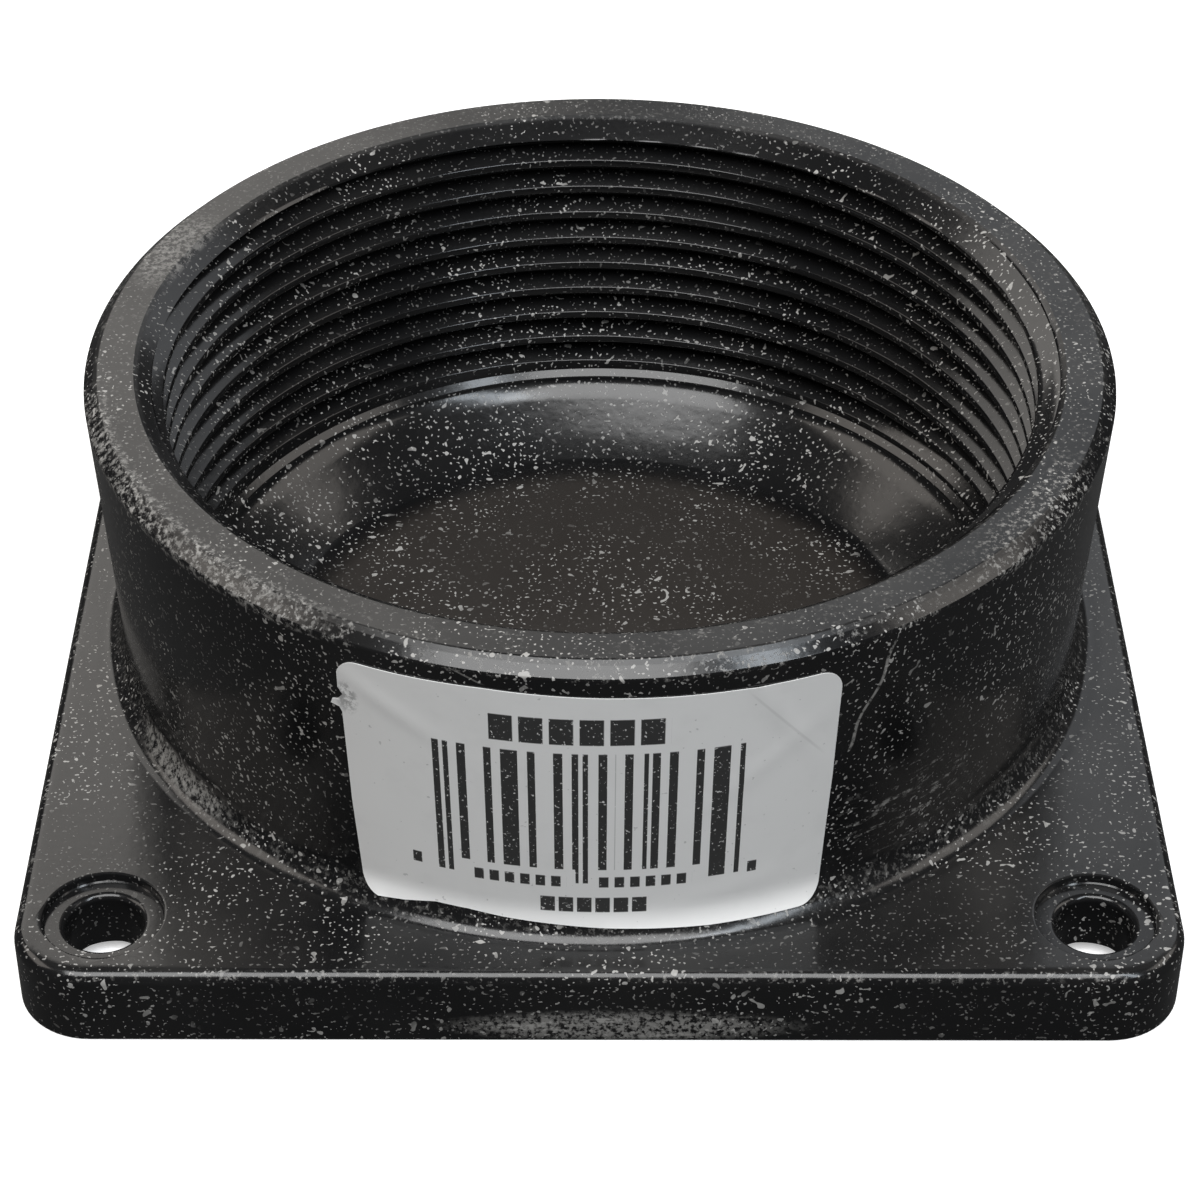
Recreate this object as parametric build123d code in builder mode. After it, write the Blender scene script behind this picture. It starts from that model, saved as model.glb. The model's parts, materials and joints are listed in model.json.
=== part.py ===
from build123d import *
import math
import os

os.makedirs("parts", exist_ok=True)

# Threaded hub adapter: a square mounting flange with a round hub standing on it.
# The hub holds a female pipe thread and a paper label is stuck round its front.
# Lengths are in millimetres. The origin is the middle of the flange's underside,
# with +Z up the hub's axis and -Y towards the label.

# Pipe thread: 3 inch size, 8 turns to the inch, right-handed, one start
thread_minor_diameter = 83.5
thread_pitch = 3.175
thread_angle = 60.0
thread_crest_flat = 0.635
thread_length = 30.6
thread_first_crest = 1.28  # from the rim down to the first crest, at the back of the hub

# Mouth of the thread
mouth_clearance = 0.4  # the mouth is this much larger in radius than the thread's roots
lead_in_depth = 1.7

# Hub
rim_wall = 5.2  # from the thread's roots to the outside of the rim
rim_chamfer = 1.3
hub_taper = 1.8  # the hub's radius is this much smaller at the flange than at the rim
foot_flare_width = 1.3  # the hub's foot spreads by this much in radius where it meets the flange
foot_flare_height = 3.5

# Inside of the hub, below the thread
bore_step = 0.6  # the plain bore stands this far inside the thread's crests
floor_thickness = 2.5
floor_slope_width = 8.0  # the floor rises to the wall over this width
floor_slope_height = 5.5
bore_straight = 0.8  # plain wall between the floor's slope and the step up to the thread

# Flange
flange_margin = 5.65  # from the hub's foot to the edge of the flange
flange_thickness = 8.0
flange_corner_radius = 7.0
flange_edge_round = 1.2
flange_foot_break = 0.3

# Bolt holes, one in each corner, for 1/4 inch bolts
bolt_edge_distance = 8.0
bolt_hole_diameter = 7.1
bolt_recess_diameter = 11.0
bolt_recess_depth = 1.0
bolt_hole_break = 0.6
bolt_exit_chamfer = 1.4  # on the underside

# Paper label
label_width = 45.0  # round the hub
label_top_gap = 3.3  # from the rim down to the label
label_bottom_gap = 1.2  # from the flange up to the label
label_turn = -1.4  # degrees round the hub from the middle of the front
label_thickness = 0.15
label_corner_radius = 2.2
label_tear = 1.1  # depth of the small tear in the left edge
label_wave = 0.55  # how far the bottom edge wanders up and down

# Worked out from the sizes above
thread_radius = thread_minor_diameter / 2
flank_slope = math.tan(math.radians(thread_angle / 2))
thread_depth = (thread_pitch - thread_crest_flat) / 2 / flank_slope
root_radius = thread_radius + thread_depth
mouth_radius = root_radius + mouth_clearance
rim_radius = root_radius + rim_wall
foot_radius = rim_radius - hub_taper
thread_bottom = floor_thickness + floor_slope_height + bore_straight + bore_step
total_height = thread_bottom + thread_length
hub_height = total_height - flange_thickness
flange_width = 2 * (foot_radius + flange_margin)
bolt_spacing = flange_width - 2 * bolt_edge_distance
bore_radius = thread_radius - bore_step


# Square flange with rounded corners and a rounded top edge
with BuildPart() as flange:
    with BuildSketch(Plane.XY):
        RectangleRounded(flange_width, flange_width, flange_corner_radius)
    extrude(amount=flange_thickness)
    fillet(flange.faces().sort_by(Axis.Z)[-1].outer_wire().edges(), flange_edge_round)
    chamfer(flange.faces().sort_by(Axis.Z)[0].outer_wire().edges(), flange_foot_break)

# Outside of the hub: flared foot, wall that widens a little upwards, chamfered rim
seat_radius = flange_width / 2 - flange_edge_round - flange_foot_break
with BuildSketch(Plane.XZ) as hub_profile:
    with BuildLine():
        Polyline(
            (0, 0),
            (seat_radius, 0),
            (seat_radius, flange_thickness),
            (foot_radius + foot_flare_width, flange_thickness),
            (foot_radius, flange_thickness + foot_flare_height),
            (rim_radius, total_height),
            (0, total_height),
            close=True,
        )
    make_face()
    rim_corner = hub_profile.vertices().group_by(Axis.Y)[-1].sort_by(Axis.X)[-1]
    chamfer(rim_corner, rim_chamfer)

# Inside of the hub: lead-in, thread crests, plain bore and a floor that slopes up to the wall
with BuildSketch(Plane.XZ) as bore_profile:
    with BuildLine():
        Polyline(
            (0, floor_thickness),
            (bore_radius - floor_slope_width, floor_thickness),
            (bore_radius, floor_thickness + floor_slope_height),
            (bore_radius, thread_bottom - bore_step),
            (thread_radius, thread_bottom),
            (thread_radius, total_height - lead_in_depth),
            (mouth_radius, total_height),
            (0, total_height),
            close=True,
        )
    make_face()


# Groove of the thread: a 60 degree vee, cut one turn at a time
groove_overlap = 1.0  # how far the cutter stands inside the bore
groove_mouth = (thread_depth + groove_overlap) * flank_slope
groove_turns = math.floor((thread_length - thread_first_crest) / thread_pitch) + 1


def thread_turn(low):
    """One turn of the groove, whose middle starts at the height low, at the hub's right side."""
    with BuildPart() as turn:
        with BuildLine() as path:
            Helix(thread_pitch, thread_pitch, thread_radius, center=(0, 0, low))
        start = Plane(origin=path.line @ 0, z_dir=path.line % 0, x_dir=(1, 0, 0))
        with BuildSketch(start):
            with BuildLine():
                Polyline(
                    (-groove_overlap, -groove_mouth),
                    (thread_depth, 0),
                    (-groove_overlap, groove_mouth),
                    close=True,
                )
            make_face()
        sweep(path=path.line, is_frenet=True)
    return turn.part


# The crest is at its stated height at the back, a quarter turn on from the right side,
# and the middle of the groove over it lies half a pitch higher
groove_start = total_height - thread_first_crest + 0.25 * thread_pitch

with BuildPart() as adapter_body:
    add(flange.part)
    add(revolve(hub_profile.sketch, axis=Axis.Z, mode=Mode.PRIVATE))
    add(revolve(bore_profile.sketch, axis=Axis.Z, mode=Mode.PRIVATE), mode=Mode.SUBTRACT)
    for turn in range(groove_turns):
        add(thread_turn(groove_start - turn * thread_pitch), mode=Mode.SUBTRACT)
    with Locations(Plane.XY.offset(flange_thickness)):
        with GridLocations(bolt_spacing, bolt_spacing, 2, 2):
            CounterBoreHole(bolt_hole_diameter / 2, bolt_recess_diameter / 2, bolt_recess_depth)
    bolt_edges = adapter_body.edges().filter_by(GeomType.CIRCLE)
    recess_floor = flange_thickness - bolt_recess_depth
    hole_mouths = bolt_edges.filter_by(
        lambda e: abs(e.radius - bolt_hole_diameter / 2) < 0.01 and abs(e.center().Z - recess_floor) < 0.01
    )
    chamfer(hole_mouths, bolt_hole_break)
    hole_exits = (
        adapter_body.edges()
        .filter_by(GeomType.CIRCLE)
        .filter_by(lambda e: abs(e.radius - bolt_hole_diameter / 2) < 0.01 and abs(e.center().Z) < 0.01)
    )
    chamfer(hole_exits, bolt_exit_chamfer)

adapter_body.part.label = "adapter_body"
export_step(adapter_body.part, "parts/adapter_body.step")


# Paper label: a skin on the hub's wall and foot, cut to the label's outline as seen from the front
label_top = total_height - label_top_gap
label_bottom = flange_thickness + label_bottom_gap
label_radius = (foot_radius + rim_radius) / 2
half_angle = math.degrees(label_width / label_radius / 2)
label_left = label_radius * math.sin(math.radians(label_turn - half_angle))
label_right = label_radius * math.sin(math.radians(label_turn + half_angle))
tear_height = label_top - 4.2

with BuildSketch(Plane.XZ) as label_outline:
    with BuildLine():
        top_edge = Line((label_left, label_top), (label_right, label_top))
        right_edge = Line(top_edge @ 1, (label_right, label_bottom - label_wave))
        bottom_edge = Spline(
            right_edge @ 1,
            (0.45 * label_right, label_bottom - label_wave),
            (0.4 * label_left, label_bottom + 0.6 * label_wave),
            (0.68 * label_left, label_bottom + label_wave),
            (0.86 * label_left, label_bottom),
            (label_left, label_bottom - label_wave),
            tangents=((-1, 0), (-1, -0.2)),
        )
        Polyline(
            bottom_edge @ 1,
            (label_left, tear_height - label_tear),
            (label_left - 0.4 * label_tear, tear_height - 0.6 * label_tear),
            (label_left + 0.35 * label_tear, tear_height),
            (label_left, tear_height + 0.8 * label_tear),
            top_edge @ 0,
        )
    make_face()
    corners = label_outline.vertices().filter_by(
        lambda v: min(abs(v.X - label_left), abs(v.X - label_right)) < 0.01
        and (abs(v.Y - label_top) < 0.01 or abs(v.Y - label_bottom + label_wave) < 0.01)
    )
    fillet(corners, label_corner_radius)

with BuildSketch(Plane.XZ) as skin_profile:
    add(hub_profile.sketch)
    offset(amount=label_thickness, kind=Kind.INTERSECTION)
    add(hub_profile.sketch, mode=Mode.SUBTRACT)
    with Locations((foot_radius, flange_thickness + 0.5 * label_bottom_gap)):
        Rectangle(
            flange_margin,
            hub_height - rim_chamfer - 0.5 * label_bottom_gap,
            align=(Align.CENTER, Align.MIN),
            mode=Mode.INTERSECT,
        )

with BuildPart() as label:
    add(revolve(skin_profile.sketch, axis=Axis.Z, mode=Mode.PRIVATE))
    add(extrude(label_outline.sketch, amount=flange_width, mode=Mode.PRIVATE), mode=Mode.INTERSECT)

label.part.label = "label"
export_step(label.part, "parts/label.step")
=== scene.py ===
# %% [markdown]
# # A threaded hub adapter in black plastic
# A square flange with a round hub on it, a coarse pipe thread inside the hub and a paper label
# round the front. Every size is in metres here, so `mm` turns the millimetres below into them.
# The first lines fetch the CAD frame that this look is fitted to.

# %% Load the frame
import json
import math
import random

import bpy
from mathutils import Matrix, Vector, noise

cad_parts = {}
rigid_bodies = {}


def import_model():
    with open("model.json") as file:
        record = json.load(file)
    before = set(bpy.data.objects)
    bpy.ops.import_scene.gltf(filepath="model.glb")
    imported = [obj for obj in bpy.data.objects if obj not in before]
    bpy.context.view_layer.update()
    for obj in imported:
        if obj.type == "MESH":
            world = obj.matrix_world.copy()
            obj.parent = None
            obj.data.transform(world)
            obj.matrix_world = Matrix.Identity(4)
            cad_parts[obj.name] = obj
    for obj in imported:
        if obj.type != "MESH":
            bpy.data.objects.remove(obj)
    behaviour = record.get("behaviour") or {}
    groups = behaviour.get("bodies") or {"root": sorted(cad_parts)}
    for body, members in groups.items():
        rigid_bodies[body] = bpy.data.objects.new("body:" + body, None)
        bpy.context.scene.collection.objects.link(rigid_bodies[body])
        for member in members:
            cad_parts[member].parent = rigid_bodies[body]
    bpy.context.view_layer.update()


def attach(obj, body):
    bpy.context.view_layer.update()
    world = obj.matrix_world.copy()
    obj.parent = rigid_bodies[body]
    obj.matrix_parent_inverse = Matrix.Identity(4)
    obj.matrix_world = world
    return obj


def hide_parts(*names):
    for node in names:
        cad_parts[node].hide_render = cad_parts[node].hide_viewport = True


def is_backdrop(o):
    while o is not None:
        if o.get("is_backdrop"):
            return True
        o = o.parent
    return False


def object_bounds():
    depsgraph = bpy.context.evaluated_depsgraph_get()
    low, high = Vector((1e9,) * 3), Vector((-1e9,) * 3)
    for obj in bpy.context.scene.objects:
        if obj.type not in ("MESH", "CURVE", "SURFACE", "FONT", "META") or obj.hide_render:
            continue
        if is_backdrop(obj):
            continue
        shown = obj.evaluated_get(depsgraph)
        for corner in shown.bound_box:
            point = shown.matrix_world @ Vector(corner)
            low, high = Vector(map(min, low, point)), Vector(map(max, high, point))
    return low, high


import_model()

# %% [markdown]
# ## Sizes
# These follow the CAD part. The thread has 8 turns to the inch, so its pitch is 3.175 mm, and it
# climbs anticlockwise because it is right-handed.

# %% Sizes
mm = 0.001
N = 288                                    # steps round the hub
flange_width, flange_top, flange_corner = 106 * mm, 8 * mm, 7 * mm
height = 40 * mm
crest_r, pitch, depth, crest_flat = 41.75 * mm, 3.175 * mm, 2.2 * mm, 0.635 * mm
mouth_r, lead_in = 44.3 * mm, 1.7 * mm
thread_low = 9.4 * mm
bore_r, floor_z = 41.15 * mm, 2.5 * mm
exit_chamfer = 1.4 * mm
rim_r, foot_r, rim_chamfer = 49.15 * mm, 47.35 * mm, 1.3 * mm
bolt_at, bolt_r, recess_r, recess_deep = 45 * mm, 3.55 * mm, 5.5 * mm, 1.0 * mm
crest_at_back = height - 1.28 * mm         # height of the first crest, at the back


def wall_r(z):
    """Radius of the hub's outer wall at a height."""
    return foot_r + (rim_r - foot_r) * (z - flange_top) / (height - flange_top)


# %% [markdown]
# ## Small helpers
# `chain` draws an open line by starting from one vertex and extruding it from point to point, as
# you would with E and the mouse. `pick` sets the selection by a test on the vertices, which keeps
# every step repeatable.

# %% Helpers
def edit(o, mode="EDIT"):
    bpy.ops.object.select_all(action="DESELECT")
    o.select_set(True)
    bpy.context.view_layer.objects.active = o
    bpy.ops.object.mode_set(mode=mode)


def done():
    bpy.ops.object.mode_set(mode="OBJECT")


def chain(name, points):
    """An open line of edges through points (r, z), in the XZ plane."""
    bpy.ops.mesh.primitive_plane_add(size=1)
    o = bpy.context.object
    o.name = name
    edit(o)
    bpy.ops.mesh.select_mode(type="VERT")
    bpy.ops.mesh.select_all(action="SELECT")
    bpy.ops.mesh.merge(type="CENTER")
    here = Vector((points[0][0], 0, points[0][1]))
    bpy.ops.transform.translate(value=here)
    for r, z in points[1:]:
        there = Vector((r, 0, z))
        bpy.ops.mesh.extrude_region_move(TRANSFORM_OT_translate={"value": there - here})
        here = there
    done()
    return o


def pick(o, kind, test):
    """Selects the vertices, edges or faces of o that pass the test."""
    edit(o)
    bpy.ops.mesh.select_all(action="DESELECT")
    bpy.ops.mesh.select_mode(type={"vertices": "VERT", "edges": "EDGE", "polygons": "FACE"}[kind])
    done()
    for e in getattr(o.data, kind):
        e.select = bool(test(e))
    bpy.ops.object.mode_set(mode="EDIT")


def apply_all(o):
    edit(o, "OBJECT")
    for m in list(o.modifiers):
        bpy.ops.object.modifier_apply(modifier=m.name)


def clean(o, distance=0.004 * mm):
    edit(o)
    bpy.ops.mesh.select_mode(type="VERT")
    bpy.ops.mesh.select_all(action="SELECT")
    bpy.ops.mesh.remove_doubles(threshold=distance)
    bpy.ops.mesh.dissolve_degenerate(threshold=distance / 4)
    bpy.ops.mesh.select_all(action="SELECT")
    bpy.ops.mesh.normals_make_consistent(inside=False)
    done()


def arc(cx, cz, rx, rz, start, stop, steps):
    """Points of an elliptical arc, angles in degrees."""
    turn = [math.radians(start + (stop - start) * i / steps) for i in range(steps + 1)]
    return [(cx + rx * math.cos(a), cz + rz * math.sin(a)) for a in turn]


# %% [markdown]
# ## The thread
# One pitch of the thread's outline goes round as a screw. Each turn ends where the next one
# begins, so merging the doubles makes one long spiral surface. The crests are flat, with small
# rounds, and the flanks lean 30 degrees each way.

# %% Thread
half = crest_flat / 2
lean = math.tan(math.radians(30))
side = [(0, 0), (0, half * 0.62), (0.022 * mm, half * 0.92), (0.085 * mm, half + 0.075 * mm)]
side += [(0.9 * mm, half + 0.9 * mm * lean), (1.75 * mm, half + 1.75 * mm * lean)]
side += [(2.0 * mm, half + 1.92 * mm * lean), (2.07 * mm, pitch / 2)]
low = crest_at_back - pitch / 4 - 10 * pitch
one = [(crest_r + r, low + z) for r, z in side]
one += [(crest_r + r, low + pitch - z) for r, z in reversed(side[:-1])]
thread = chain("thread", one)
screw = thread.modifiers.new("screw", "SCREW")
screw.axis, screw.angle, screw.screw_offset = "Z", 2 * math.pi, pitch
screw.iterations, screw.steps, screw.render_steps = 12, N, N
apply_all(thread)
clean(thread)
print("thread:", len(thread.data.vertices), "vertices")

# %% [markdown]
# The spiral runs out at both ends. At the top the vertices are moved out to the lead-in cone and
# down to the rim. At the bottom the last groove gets shallow and ends on the plain bore.

# %% Ends of the thread
def crest_height(angle):
    return crest_at_back + pitch * (angle / (2 * math.pi) - 0.25)


def ease(x):
    x = min(max(x, 0), 1)
    return x * x * (3 - 2 * x)


edit(thread)
bpy.ops.mesh.select_all(action="DESELECT")
done()
pick(thread, "polygons", lambda f: f.center.z > height - lead_in - 0.5 * mm and f.center.z < height + 0.6 * mm)
bpy.ops.mesh.subdivide(number_cuts=1)
done()
for v in thread.data.vertices:
    x, y, z = v.co
    r, angle = math.hypot(x, y), math.atan2(y, x)
    groove = crest_height(angle) + pitch * (math.floor((z - crest_height(angle)) / pitch) + 0.5)
    r = crest_r + (r - crest_r) * ease((groove - thread_low - 1.2 * mm) / (1.0 * mm))
    if z < thread_low:
        r, z = crest_r, thread_low
    if z > height - lead_in:
        r = max(r, crest_r + (mouth_r - crest_r) * (z - height + lead_in) / lead_in)
    if z >= height:
        r, z = mouth_r, height
    v.co = (r * math.cos(angle), r * math.sin(angle), z)
clean(thread)

# %% [markdown]
# ## The hub
# The rest of the hub is a plain outline turned round the axis with Spin: the floor and its large
# round, the bore, then the rim, the wall that narrows downwards, and the fillet at the foot.

# %% Hub
inside = [(0, floor_z), (12 * mm, floor_z), (24 * mm, floor_z)]
inside += [(31.6 * mm, floor_z), (32.7 * mm, floor_z + 0.12 * mm), (33.7 * mm, floor_z + 0.5 * mm)]
inside += [(36.5 * mm, floor_z + 2.4 * mm), (39.4 * mm, floor_z + 4.35 * mm), (40.5 * mm, floor_z + 5.2 * mm)]
inside += [(41.0 * mm, floor_z + 5.8 * mm), (bore_r, floor_z + 6.2 * mm)]
inside += [(bore_r, thread_low - 0.6 * mm), (crest_r, thread_low)]
outside = [(mouth_r, height), (mouth_r + 0.12 * mm, height)]
edge_r = wall_r(height - rim_chamfer)
outside += [(46 * mm, height), (edge_r - rim_chamfer - 0.25 * mm, height)]
outside += arc(edge_r - rim_chamfer - 0.2 * mm, height - 0.35 * mm, 0.35 * mm, 0.35 * mm, 75, 45, 3)
outside += arc(edge_r - 0.4 * mm, height - rim_chamfer - 0.12 * mm, 0.4 * mm, 0.4 * mm, 42, 0, 4)
outside += [(wall_r(z * mm), z * mm) for z in (37.5, 33, 28, 23, 18, 14, 11.8)]
outside += arc(wall_r(11.2 * mm) + 2.4 * mm, 11.2 * mm, 2.4 * mm, 3.2 * mm, 180, 270, 12)
parts = [thread]
for name, points in (("cup", inside), ("shell", outside)):
    o = chain(name, points)
    edit(o)
    bpy.ops.mesh.select_all(action="SELECT")
    bpy.ops.mesh.spin(steps=N, angle=2 * math.pi, center=(0, 0, 0), axis=(0, 0, 1))
    done()
    clean(o)
    parts.append(o)
foot_ring = outside[-1][0]

# %% [markdown]
# ## The flange
# A block with its upright edges bevelled, then its top edge rounded. Its top face is taken off,
# so that the flat between the rounded edge and the hub's foot can be filled with the foot's ring as a hole.

# %% Flange
bpy.ops.mesh.primitive_cube_add(size=1, location=(0, 0, flange_top / 2), scale=(flange_width, flange_width, flange_top))
flange = bpy.context.object
flange.name = "flange"
bpy.ops.object.transform_apply(location=True, rotation=True, scale=True)
pick(flange, "edges", lambda e: abs(flange.data.vertices[e.vertices[0]].co.z - flange.data.vertices[e.vertices[1]].co.z) > mm)
bpy.ops.mesh.bevel(offset=flange_corner, segments=14, affect="EDGES")
done()
pick(flange, "polygons", lambda f: f.normal.z > 0.9)
bpy.ops.mesh.region_to_loop()
bpy.ops.mesh.bevel(offset=1.2 * mm, segments=6, affect="EDGES")
done()
pick(flange, "polygons", lambda f: f.normal.z < -0.9)
bpy.ops.mesh.region_to_loop()
bpy.ops.mesh.bevel(offset=0.3 * mm, segments=2, affect="EDGES")
done()
pick(flange, "polygons", lambda f: f.normal.z > 0.999 and len(f.vertices) > 20)
bpy.ops.mesh.inset(thickness=0.4 * mm)
bpy.ops.mesh.delete(type="FACE")
done()

# %% Join hub and flange
edit(flange, "OBJECT")
for o in parts:
    o.select_set(True)
bpy.context.view_layer.objects.active = flange
bpy.ops.object.join()
body = bpy.context.object
body.name = "moulded_body"
clean(body)
edit(body)
bpy.ops.mesh.select_all(action="DESELECT")
bpy.ops.mesh.select_mode(type="EDGE")
bpy.ops.mesh.select_non_manifold(extend=False, use_wire=True, use_boundary=True, use_multi_face=False, use_non_contiguous=False, use_verts=False)
bpy.ops.object.mode_set(mode="OBJECT")
loose = [e for e in body.data.edges if e.select]
print("open edges before the bridge:", len(loose), [round(1000 * body.data.vertices[e.vertices[0]].co.z, 2) for e in loose[:400:40]])
bpy.ops.object.mode_set(mode="EDIT")
bpy.ops.mesh.fill(use_beauty=True)
bpy.ops.mesh.select_all(action="SELECT")
bpy.ops.mesh.normals_make_consistent(inside=False)
done()

# %% [markdown]
# ## Bolt holes
# Each cutter is a turned plug: the wide recess on top, then the bolt hole with a small lead-in.

# %% Bolt holes
plug = [(0, -1 * mm), (bolt_r + exit_chamfer + 1 * mm, -1 * mm), (bolt_r, exit_chamfer)]
plug += [(bolt_r, flange_top - recess_deep - 0.6 * mm)]
plug += arc(bolt_r + 0.6 * mm, flange_top - recess_deep - 0.6 * mm, 0.6 * mm, 0.6 * mm, 180, 90, 5)[1:]
plug += [(recess_r - 0.12 * mm, flange_top - recess_deep), (recess_r, flange_top - recess_deep + 0.12 * mm)]
plug += [(recess_r, flange_top - 0.25 * mm), (recess_r + 0.08 * mm, flange_top - 0.08 * mm)]
plug += [(recess_r + 0.25 * mm, flange_top), (recess_r + 0.25 * mm, flange_top + 1 * mm), (0, flange_top + 1 * mm)]
cutter = chain("cutter", plug)
edit(cutter)
bpy.ops.mesh.select_all(action="SELECT")
bpy.ops.mesh.spin(steps=64, angle=2 * math.pi, center=(0, 0, 0), axis=(0, 0, 1))
done()
clean(cutter)
for sx in (-1, 1):
    for sy in (-1, 1):
        edit(cutter, "OBJECT")
        bpy.ops.object.duplicate()
        hole = bpy.context.object
        hole.location = (sx * bolt_at, sy * bolt_at, 0)
        bpy.ops.object.transform_apply(location=True, rotation=True, scale=True)
        cut = body.modifiers.new("bolt hole", "BOOLEAN")
        cut.operation, cut.object, cut.solver = "DIFFERENCE", hole, "EXACT"
        apply_all(body)
        bpy.data.objects.remove(hole)
bpy.data.objects.remove(cutter)
print("body:", len(body.data.vertices), "vertices,", len(body.data.polygons), "faces")

# %% Shade
edit(body, "OBJECT")
bpy.ops.object.shade_smooth_by_angle(angle=math.radians(32))
even = body.modifiers.new("even normals", "WEIGHTED_NORMAL")
even.mode, even.weight, even.keep_sharp = "FACE_AREA", 60, True
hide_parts("adapter_body")
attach(body, "root")

# %% [markdown]
# ## Shader maths
# `S` wraps one output of a node, so that `a * b + 0.2` adds the maths nodes. `S.node` makes any
# other node.

# %% Shader helper
class S:
    def __init__(self, tree, out):
        self.tree, self.out = tree, out

    @staticmethod
    def node(tree, kind, out=0, inputs=(), **settings):
        n = tree.nodes.new(kind)
        for key, value in settings.items():
            setattr(n, key, value)
        for key, value in dict(inputs).items():
            if isinstance(value, S):
                tree.links.new(value.out, n.inputs[key])
            else:
                n.inputs[key].default_value = value
        return S(tree, n.outputs[out])

    def math(self, operation, *others, clamp=False):
        return S.node(self.tree, "ShaderNodeMath", 0, enumerate((self, *others)), operation=operation, use_clamp=clamp)

    def __add__(self, o): return self.math("ADD", o)
    def __radd__(self, o): return self.math("ADD", o)
    def __sub__(self, o): return self.math("SUBTRACT", o)
    def __mul__(self, o): return self.math("MULTIPLY", o)
    def __rmul__(self, o): return self.math("MULTIPLY", o)
    def __truediv__(self, o): return self.math("DIVIDE", o)
    def __pow__(self, o): return self.math("POWER", o)
    def __rsub__(self, o): return (self * -1) + o
    def __neg__(self): return self * -1

    def clip(self): return self.math("ADD", 0, clamp=True)
    def abs(self): return self.math("ABSOLUTE")
    def sin(self): return self.math("SINE")

    def ramp(self, a, b):
        """0 below a and 1 above b, smooth between them."""
        return S.node(self.tree, "ShaderNodeMapRange", 0, {"Value": self, "From Min": a, "From Max": b}, interpolation_type="SMOOTHSTEP")

    def between(self, a, b, soft):
        """1 from a to b with soft edges."""
        return self.ramp(a - soft, a + soft) * (1 - self.ramp(b - soft, b + soft))


def material(name):
    m = bpy.data.materials.new(name)
    m.use_nodes = True
    t = m.node_tree
    where = S.node(t, "ShaderNodeTexCoord", "Object")
    split = S.node(t, "ShaderNodeSeparateXYZ", 0, {0: where}).out.node
    x, y, z = (S(t, split.outputs[i]) * 1000 for i in range(3))
    return m, t, t.nodes["Principled BSDF"], where, x, y, z


def noise_of(t, where, scale, detail=2, rough=0.5, stretch=(1, 1, 1)):
    at = S.node(t, "ShaderNodeMapping", 0, {"Vector": where, "Scale": [1000 * s for s in stretch]})
    return S.node(t, "ShaderNodeTexNoise", 0, {"Vector": at, "Scale": scale, "Detail": detail, "Roughness": rough})


def mix(t, f, a, b):
    """Colour a where f is 0 and colour b where it is 1."""
    n = S.node(t, "ShaderNodeMix", 2, {0: f}, data_type="RGBA").out.node
    for i, c in ((6, a), (7, b)):
        if isinstance(c, S):
            t.links.new(c.out, n.inputs[i])
        else:
            n.inputs[i].default_value = (*c, 1)
    return S(t, n.outputs[2])


# %% [markdown]
# ## Black plastic
# The base is nearly black and glossy. Dust, specks, rubbed edges and scratches are masks made of
# noise, and each one lightens the colour and roughens the gloss where it lies. The bright curve along
# the hub's foot on the front left is partly scuffing and partly a painted highlight of the foot's round.

# %% Black plastic
plastic, t, bsdf, where, x, y, z = material("black_plastic")
r = (x * x + y * y).math("SQRT")
turn_deg = y.math("ARCTAN2", x) * (180 / math.pi)          # 0 on the right, -90 at the label
cloud = noise_of(t, where, 0.06, 3)
patchy = noise_of(t, where, 0.3, 3, 0.6)
fine = noise_of(t, where, 1.7, 4, 0.7)


def spot(u, v, u0, v0, du, dv, soft=0.5):
    """A soft elliptical patch round (u0, v0)."""
    d = ((u - u0) / du) ** 2 + ((v - v0) / dv) ** 2
    return 1 - d.ramp(1 - soft, 1 + soft)


top = z.between(39.6, 40.5, 0.05) * r.between(43.9, 48.6, 0.2)
chamfer = z.between(38.4, 40.1, 0.12) * r.between(47.4, 49.6, 0.1)
wall = z.between(8.3, 38.6, 0.2) * r.ramp(46.5, 46.9)
deck = z.between(7.9, 8.2, 0.04) * r.ramp(50.2, 51.0)
side = 1 - z.ramp(7.4, 8.0)
edge_line = z.between(7.2, 7.95, 0.12) * x.abs().math("MAXIMUM", y.abs()).ramp(51.9, 52.4)

tiny = noise_of(t, where, 3.1, 0).ramp(0.715, 0.745)
small = noise_of(t, where, 1.35, 0).ramp(0.755, 0.785)
dense = noise_of(t, where, 0.09, 2).ramp(0.40, 0.62)
specks = (tiny * (0.25 + 0.75 * dense) + small * dense).clip()

worn = fine.ramp(0.53, 0.66) * patchy.ramp(0.42, 0.58)
rub = worn * (0.5 * chamfer + 0.55 * edge_line + 0.22 * top)
streak = noise_of(t, where, 1.0, 3, 0.6, (0.16, 0.5, 1.5)).ramp(0.54, 0.66)
front_scuff = side * (1 - y.ramp(-52.9, -52.6)) * spot(x, z, 2, 1.9, 13, 1.6, 0.9) * (fine.ramp(0.42, 0.56) * 0.7 + streak * 0.5)
left_rub = r.between(46.9, 50.4, 0.25) * z.between(38.0, 40.2, 0.2) * turn_deg.between(-170, -120, 4) * fine.ramp(0.45, 0.6)
right_rub = r.between(45.4, 49.6, 0.4) * z.between(38.0, 40.2, 0.2) * turn_deg.between(-44, -24, 3) * fine.ramp(0.5, 0.62)
upper_rub = spot(turn_deg, r, 158, 45.6, 8, 2.4, 0.8) * z.ramp(39.4, 39.7) * fine.ramp(0.44, 0.56)
# Rubbing along the hub's foot, with a brighter curved streak on the front left that is partly scuffs and partly a
# painted highlight along the foot's round.
foot_scuff_and_highlight = z.between(8.4, 10.6, 0.4) * r.between(47.5, 50.2, 0.3) * (0.35 * fine.ramp(0.5, 0.65) + 0.75 * spot(turn_deg, z, -146, 9.6, 9, 1.6, 0.8) * fine.ramp(0.4, 0.55))
wall_patch = wall * spot(turn_deg, z, -55, 16.5, 8.5, 4.5, 0.9) * streak * fine.ramp(0.42, 0.6) * 0.6
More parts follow.
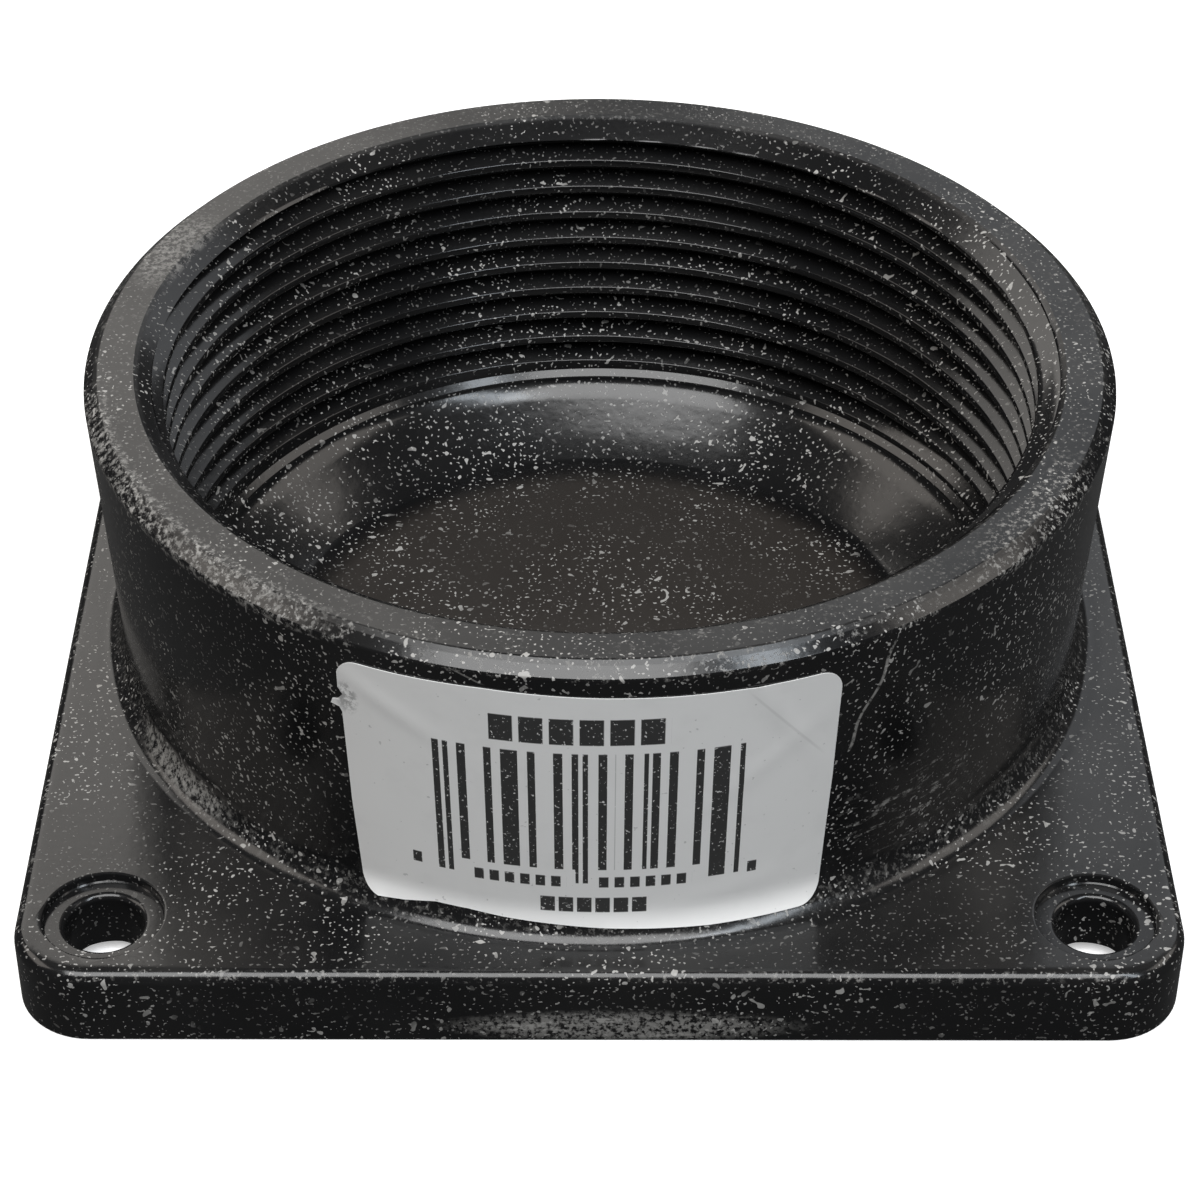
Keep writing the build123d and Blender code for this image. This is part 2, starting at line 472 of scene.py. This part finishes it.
curve_line = wall * (1 - (turn_deg + 58.6 + (37.2 - z) * 0.44 + 0.35 * (z * 0.9).sin()).abs().ramp(0.10, 0.28)) * z.between(26.3, 37.3, 0.4) * fine.ramp(0.38, 0.52)
nick_line = wall * (1 - (turn_deg + 104.0 + (z - 38.3) * 2.4).abs().ramp(0.12, 0.35)) * z.between(37.5, 39.6, 0.2)
scuffs = (rub + front_scuff + left_rub * 0.45 + right_rub * 0.5 + upper_rub * 0.4 + foot_scuff_and_highlight * 0.6 + wall_patch + curve_line * 0.7 + nick_line * 0.4).clip()

dust = (0.020 * cloud.ramp(0.35, 0.7)) * (0.4 + deck + 1.5 * top)
disc = (1 - r.ramp(29, 33)) * (1 - z.ramp(3.0, 4.5))
base = mix(t, disc, (0.0065, 0.0066, 0.0070), (0.030, 0.026, 0.023))
base = mix(t, dust, base, (0.55, 0.53, 0.50))
base = mix(t, specks * 0.75, base, (0.50, 0.49, 0.47))
base = mix(t, scuffs * 0.8, base, (0.42, 0.41, 0.39))
t.links.new(base.out, bsdf.inputs["Base Color"])
rough = 0.13 + 0.07 * cloud + 0.30 * scuffs + 0.25 * specks + 0.13 * top + 0.32 * disc + 0.05 * worn
t.links.new(rough.out, bsdf.inputs["Roughness"])
peel = noise_of(t, where, 0.55, 1) * 0.5 + noise_of(t, where, 1.6, 1) * 0.2 + (scuffs + specks) * 0.25
bump = S.node(t, "ShaderNodeBump", 0, {"Height": peel, "Strength": 0.12, "Distance": 0.0002})
t.links.new(bump.out, bsdf.inputs["Normal"])
bsdf.inputs["IOR"].default_value = 1.5
body.data.materials.append(plastic)

# %% [markdown]
# ## The label's shape
# The outline is drawn flat, with the torn notch in its left edge, then cut into narrow strips by
# straight cuts. Each vertex is then laid on the hub: its distance along the label becomes an
# angle, and a few folds lift it by hundredths of a millimetre.

# %% Label outline
def on_hub(s, h, lift):
    """The point of the hub's wall or foot at arc s from the front and height h, raised by lift."""
    flare = 11.2 * mm
    if h >= flare:
        rad = wall_r(h)
    else:
        sag = min((flare - h) / (3.2 * mm), 1)
        rad = wall_r(flare) + 2.4 * mm * (1 - math.sqrt(1 - sag * sag))
    a = s / (48.3 * mm) - math.pi / 2
    return (rad + lift) * math.cos(a), (rad + lift) * math.sin(a), h


left, right, top_z = -23.3 * mm, 21.2 * mm, 36.75 * mm
edge = [(left + 2.2 * mm, top_z), (-10 * mm, top_z + 0.28 * mm), (0, top_z), (right - 2.2 * mm, top_z - 0.3 * mm)]
edge += arc(right - 2.2 * mm, top_z - 2.5 * mm, 2.2 * mm, 2.2 * mm, 90, 0, 8)[1:]
edge += [(right - 0.1 * mm, 24 * mm), (right - 0.45 * mm, 11.2 * mm)]
edge += arc(right - 2.65 * mm, 11.2 * mm, 2.2 * mm, 2.2 * mm, 0, -90, 8)[1:]
edge += [(10 * mm, 9.0 * mm), (0, 9.35 * mm), (-8.8 * mm, 9.8 * mm), (-12 * mm, 10.05 * mm), (-15.2 * mm, 10.1 * mm), (-18.2 * mm, 9.55 * mm)]
edge += arc(left + 2.9 * mm, 11.4 * mm, 2.2 * mm, 2.2 * mm, -90, -180, 8)[1:]
edge += [(left + 0.3 * mm, 20 * mm), (left + 0.15 * mm, 30.5 * mm), (left - 0.1 * mm, 31.0 * mm), (left - 0.95 * mm, 31.15 * mm)]
edge += [(left - 0.75 * mm, 31.7 * mm), (left - 0.2 * mm, 31.9 * mm), (left + 0.35 * mm, 32.6 * mm), (left - 0.1 * mm, 33.3 * mm)]
edge += arc(left + 2.1 * mm, top_z - 2.1 * mm, 2.2 * mm, 2.1 * mm, 180, 90, 8)[1:-1]
label = chain("paper_label", edge)
edit(label)
bpy.ops.mesh.select_all(action="SELECT")
bpy.ops.mesh.edge_face_add()
for i in range(1, 60):
    bpy.ops.mesh.select_all(action="SELECT")
    bpy.ops.mesh.bisect(plane_co=(left - 1 * mm + i * 0.78 * mm, 0, 0), plane_no=(1, 0, 0))
for i in range(1, 34):
    bpy.ops.mesh.select_all(action="SELECT")
    bpy.ops.mesh.bisect(plane_co=(0, 0, 8.6 * mm + i * 0.85 * mm), plane_no=(0, 0, 1))
done()
label.data.uv_layers.new(name="flat")
for loop in label.data.loops:
    co = label.data.vertices[loop.vertex_index].co
    label.data.uv_layers["flat"].data[loop.index].uv = (co.x * 1000, co.z * 1000)
folds = [(15.5, 33, 0.45, -0.75, 8, 0.10), (14, 27, 1.2, 1.0, 7, 0.08), (-19, 33, -1.0, 0.6, 6, 0.10), (-20.5, 17, 0.2, 1.0, 7, 0.06), (9.5, 12, 1.0, 0.25, 10, 0.05)]
for v in label.data.vertices:
    s, h = v.co.x, v.co.z
    lift = 0.0
    for fs, fh, dx, dy, reach, high in folds:
        along, across = ((s / mm - fs) * dx + (h / mm - fh) * dy), ((s / mm - fs) * -dy + (h / mm - fh) * dx)
        n = math.hypot(dx, dy)
        lift += high * math.exp(-((along / n / reach) ** 2) - (across / n / 0.7) ** 2)
    lift += 0.03 * noise.noise(Vector((s * 120, h * 120, 0.3)))
    v.co = on_hub(s, h, (0.11 + lift) * mm)
bpy.ops.object.select_all(action="DESELECT")
edit(label)
bpy.ops.mesh.select_all(action="SELECT")
bpy.ops.mesh.normals_make_consistent(inside=False)
done()
if label.data.polygons[len(label.data.polygons) // 2].normal.y > 0:
    edit(label)
    bpy.ops.mesh.select_all(action="SELECT")
    bpy.ops.mesh.flip_normals()
    done()
edit(label, "OBJECT")
thick = label.modifiers.new("paper", "SOLIDIFY")
thick.thickness, thick.offset = 0.08 * mm, -1
apply_all(label)
bpy.ops.object.shade_smooth_by_angle(angle=math.radians(40))
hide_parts("label")
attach(label, "root")
print("label:", len(label.data.polygons), "faces")

# %% [markdown]
# ## The label's print
# The print is only bars and blocks, placed by the flat position along the label. The bars come
# from adding two waves, so they follow no code. Blocks stand where words would be.

# %% Label print
paper = bpy.data.materials.new("label_paper")
paper.use_nodes = True
t = paper.node_tree
bsdf = t.nodes["Principled BSDF"]
flat = S.node(t, "ShaderNodeUVMap", 0, uv_map="flat")
both = S.node(t, "ShaderNodeSeparateXYZ", 0, {0: flat}).out.node
u, h = S(t, both.outputs[0]), S(t, both.outputs[1])
where = S.node(t, "ShaderNodeTexCoord", "Object")
rhythm = (u * 3.05 + 0.6).sin() + (u * 5.13 + 1.1).sin() * 0.9 + (u * 1.37).sin() * 0.25
low_end = 16.2 - 1.7 * (u.between(-15.6, -12.6, 0.02) + u.between(-2.2, -0.7, 0.02) + u.between(9.4, 12.6, 0.02))
bars = rhythm.ramp(0.12, 0.2) * u.between(-15.6, 12.6, 0.02) * (h - low_end).ramp(-0.05, 0.05) * (1 - h.ramp(30.2, 30.35))


def blocks(first, last, pitch_mm, wide, bottom, top_h, softness=0.06):
    """A row of plain blocks between two heights."""
    step = ((u - first) / pitch_mm).math("FRACT")
    return step.between(0.0, wide, 0.02) * u.between(first, last, 0.03) * h.between(bottom, top_h, softness)


heading = blocks(-9.6, 6.0, 2.6, 0.80, 31.3, 34.3)
digits = blocks(-11.4, -3.0, 1.40, 0.62, 14.0, 15.3) + blocks(-0.1, 8.3, 1.40, 0.62, 14.0, 15.3)
digits = digits + blocks(-17.2, -16.3, 1.4, 0.62, 14.6, 15.9) + blocks(13.4, 14.3, 1.4, 0.62, 14.3, 15.6)
word = blocks(-5.4, 4.4, 1.66, 0.80, 10.9, 12.7)
grit = noise_of(t, where, 4.0, 1)
ink = (bars + heading + digits + word).clip() * (1 - 0.75 * grit.ramp(0.66, 0.72))
smudge = noise_of(t, where, 0.22, 3, 0.6).ramp(0.5, 0.75) * 0.05
soil = spot(u, h, -22.6, 32.4, 1.0, 1.6, 0.9) * noise_of(t, where, 1.4, 3, 0.7).ramp(0.42, 0.58)
# Painted shade: a darker line along the fold near the label's top right, where the paper creases.
painted_crease_shade = (1 - (u * 0.78 + h * 0.63 - 32.6).abs().ramp(0.05, 0.2)) * u.between(13.0, 19.5, 0.8) * 0.16
flecks = noise_of(t, where, 1.9, 1).ramp(0.74, 0.78) * 0.35
tone = mix(t, (smudge + soil * 0.7 + painted_crease_shade + flecks).clip(), (0.83, 0.83, 0.82), (0.20, 0.20, 0.20))
t.links.new(mix(t, ink * 0.97, tone, (0.012, 0.012, 0.012)).out, bsdf.inputs["Base Color"])
t.links.new((0.42 + 0.1 * grit).out, bsdf.inputs["Roughness"])
label.data.materials.clear()
label.data.materials.append(paper)

# %% [markdown]
# ## Camera
# The camera stands where the photograph was taken from, with a long lens.

# %% Camera
yaw, pitch_down, roll = math.radians(0.243), math.radians(37.806), math.radians(0.259)
turn = Matrix.Rotation(-yaw, 3, "Z") @ Matrix.Rotation(math.pi / 2 - pitch_down, 3, "X") @ Matrix.Rotation(roll, 3, "Z")
bpy.ops.object.camera_add(location=(-1.04 * mm, -267.081 * mm, 216.499 * mm), rotation=turn.to_euler())
camera = bpy.context.object
camera.data.lens, camera.data.sensor_width = 100.32, 36
camera.data.clip_start, camera.data.clip_end = 0.01, 20
camera.data.dof.use_dof = False
bpy.context.scene.camera = camera

# %% [markdown]
# ## Floor and light
# The floor looks white to the camera, but reflections in the plastic see a dark grey one, as the
# photograph's black walls do. Soft boxes give the long highlights on the thread and the rim.

# %% Floor
bpy.ops.mesh.primitive_plane_add(size=4, location=(0, 0, -0.02 * mm))
floor = bpy.context.object
floor.name = "floor"
pale = bpy.data.materials.new("floor_white")
pale.use_nodes = True
t = pale.node_tree
t.nodes.clear()
seen = S.node(t, "ShaderNodeLightPath", "Is Camera Ray")
lit = S.node(t, "ShaderNodeBsdfDiffuse", 0, {"Color": (0.93, 0.93, 0.93, 1)})
dull = S.node(t, "ShaderNodeBsdfDiffuse", 0, {"Color": (0.06, 0.06, 0.06, 1)})
glow = S.node(t, "ShaderNodeEmission", 0, {"Color": (1, 1, 1, 1), "Strength": 0.42})
shown = S.node(t, "ShaderNodeAddShader", 0, {0: lit, 1: glow})
mixed = S.node(t, "ShaderNodeMixShader", 0, {0: seen, 1: dull, 2: shown})
out = t.nodes.new("ShaderNodeOutputMaterial")
t.links.new(mixed.out, out.inputs["Surface"])
floor.data.materials.append(pale)
floor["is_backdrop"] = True


# %% Light
def softbox(name, turn, rise, far, size, power, colour=(1, 1, 1), aim=(0, 0, 0.02)):
    """A soft light in the direction turn (degrees, 0 in front, 90 on the right) and rise above the floor."""
    a, e = math.radians(turn), math.radians(rise)
    place = Vector((math.sin(a) * math.cos(e), -math.cos(a) * math.cos(e), math.sin(e))) * far
    facing = (Vector(aim) - place).to_track_quat("-Z", "Y").to_euler()
    bpy.ops.object.light_add(type="AREA", location=place, rotation=facing)
    o = bpy.context.object
    o.name = name
    o.data.shape, o.data.size, o.data.size_y = "RECTANGLE", size[0], size[1]
    o.data.energy, o.data.color = power, colour
    return o


softbox("key", -12, 62, 1.2, (0.9, 0.7), 13)
softbox("window", 41, 50, 1.3, (0.16, 0.9), 5, (0.86, 0.93, 1.0))
softbox("back_left", 205, 36, 1.3, (0.9, 0.6), 3.2, (1.0, 0.96, 0.91))
softbox("back_right", 155, 36, 1.3, (0.9, 0.6), 1.6, (0.93, 0.96, 1.0))
softbox("left", -95, 40, 1.2, (0.8, 0.5), 3.0, (1.0, 0.93, 0.86))
softbox("right", 95, 40, 1.2, (0.8, 0.5), 2.6, (1.0, 0.94, 0.88))

world = bpy.data.worlds.new("studio")
bpy.context.scene.world = world
world.use_nodes = True
tree = world.node_tree
tree.nodes.clear()
seen = S.node(tree, "ShaderNodeLightPath", "Is Camera Ray")
plain = S.node(tree, "ShaderNodeBackground", 0, {"Color": (1, 1, 1, 1), "Strength": 1.0})
dim = S.node(tree, "ShaderNodeBackground", 0, {"Color": (1, 1, 1, 1), "Strength": 0.05})
both = S.node(tree, "ShaderNodeMixShader", 0, {0: seen, 1: dim, 2: plain})
output = tree.nodes.new("ShaderNodeOutputWorld")
tree.links.new(both.out, output.inputs["Surface"])
bpy.context.scene.view_settings.view_transform = "Standard"

# %% [markdown]
# ## Finish
# The visible box is measured again and printed.

# %% Finish
low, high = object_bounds()
print("look box in mm:", [round(v * 1000, 2) for v in (*low, *high)])
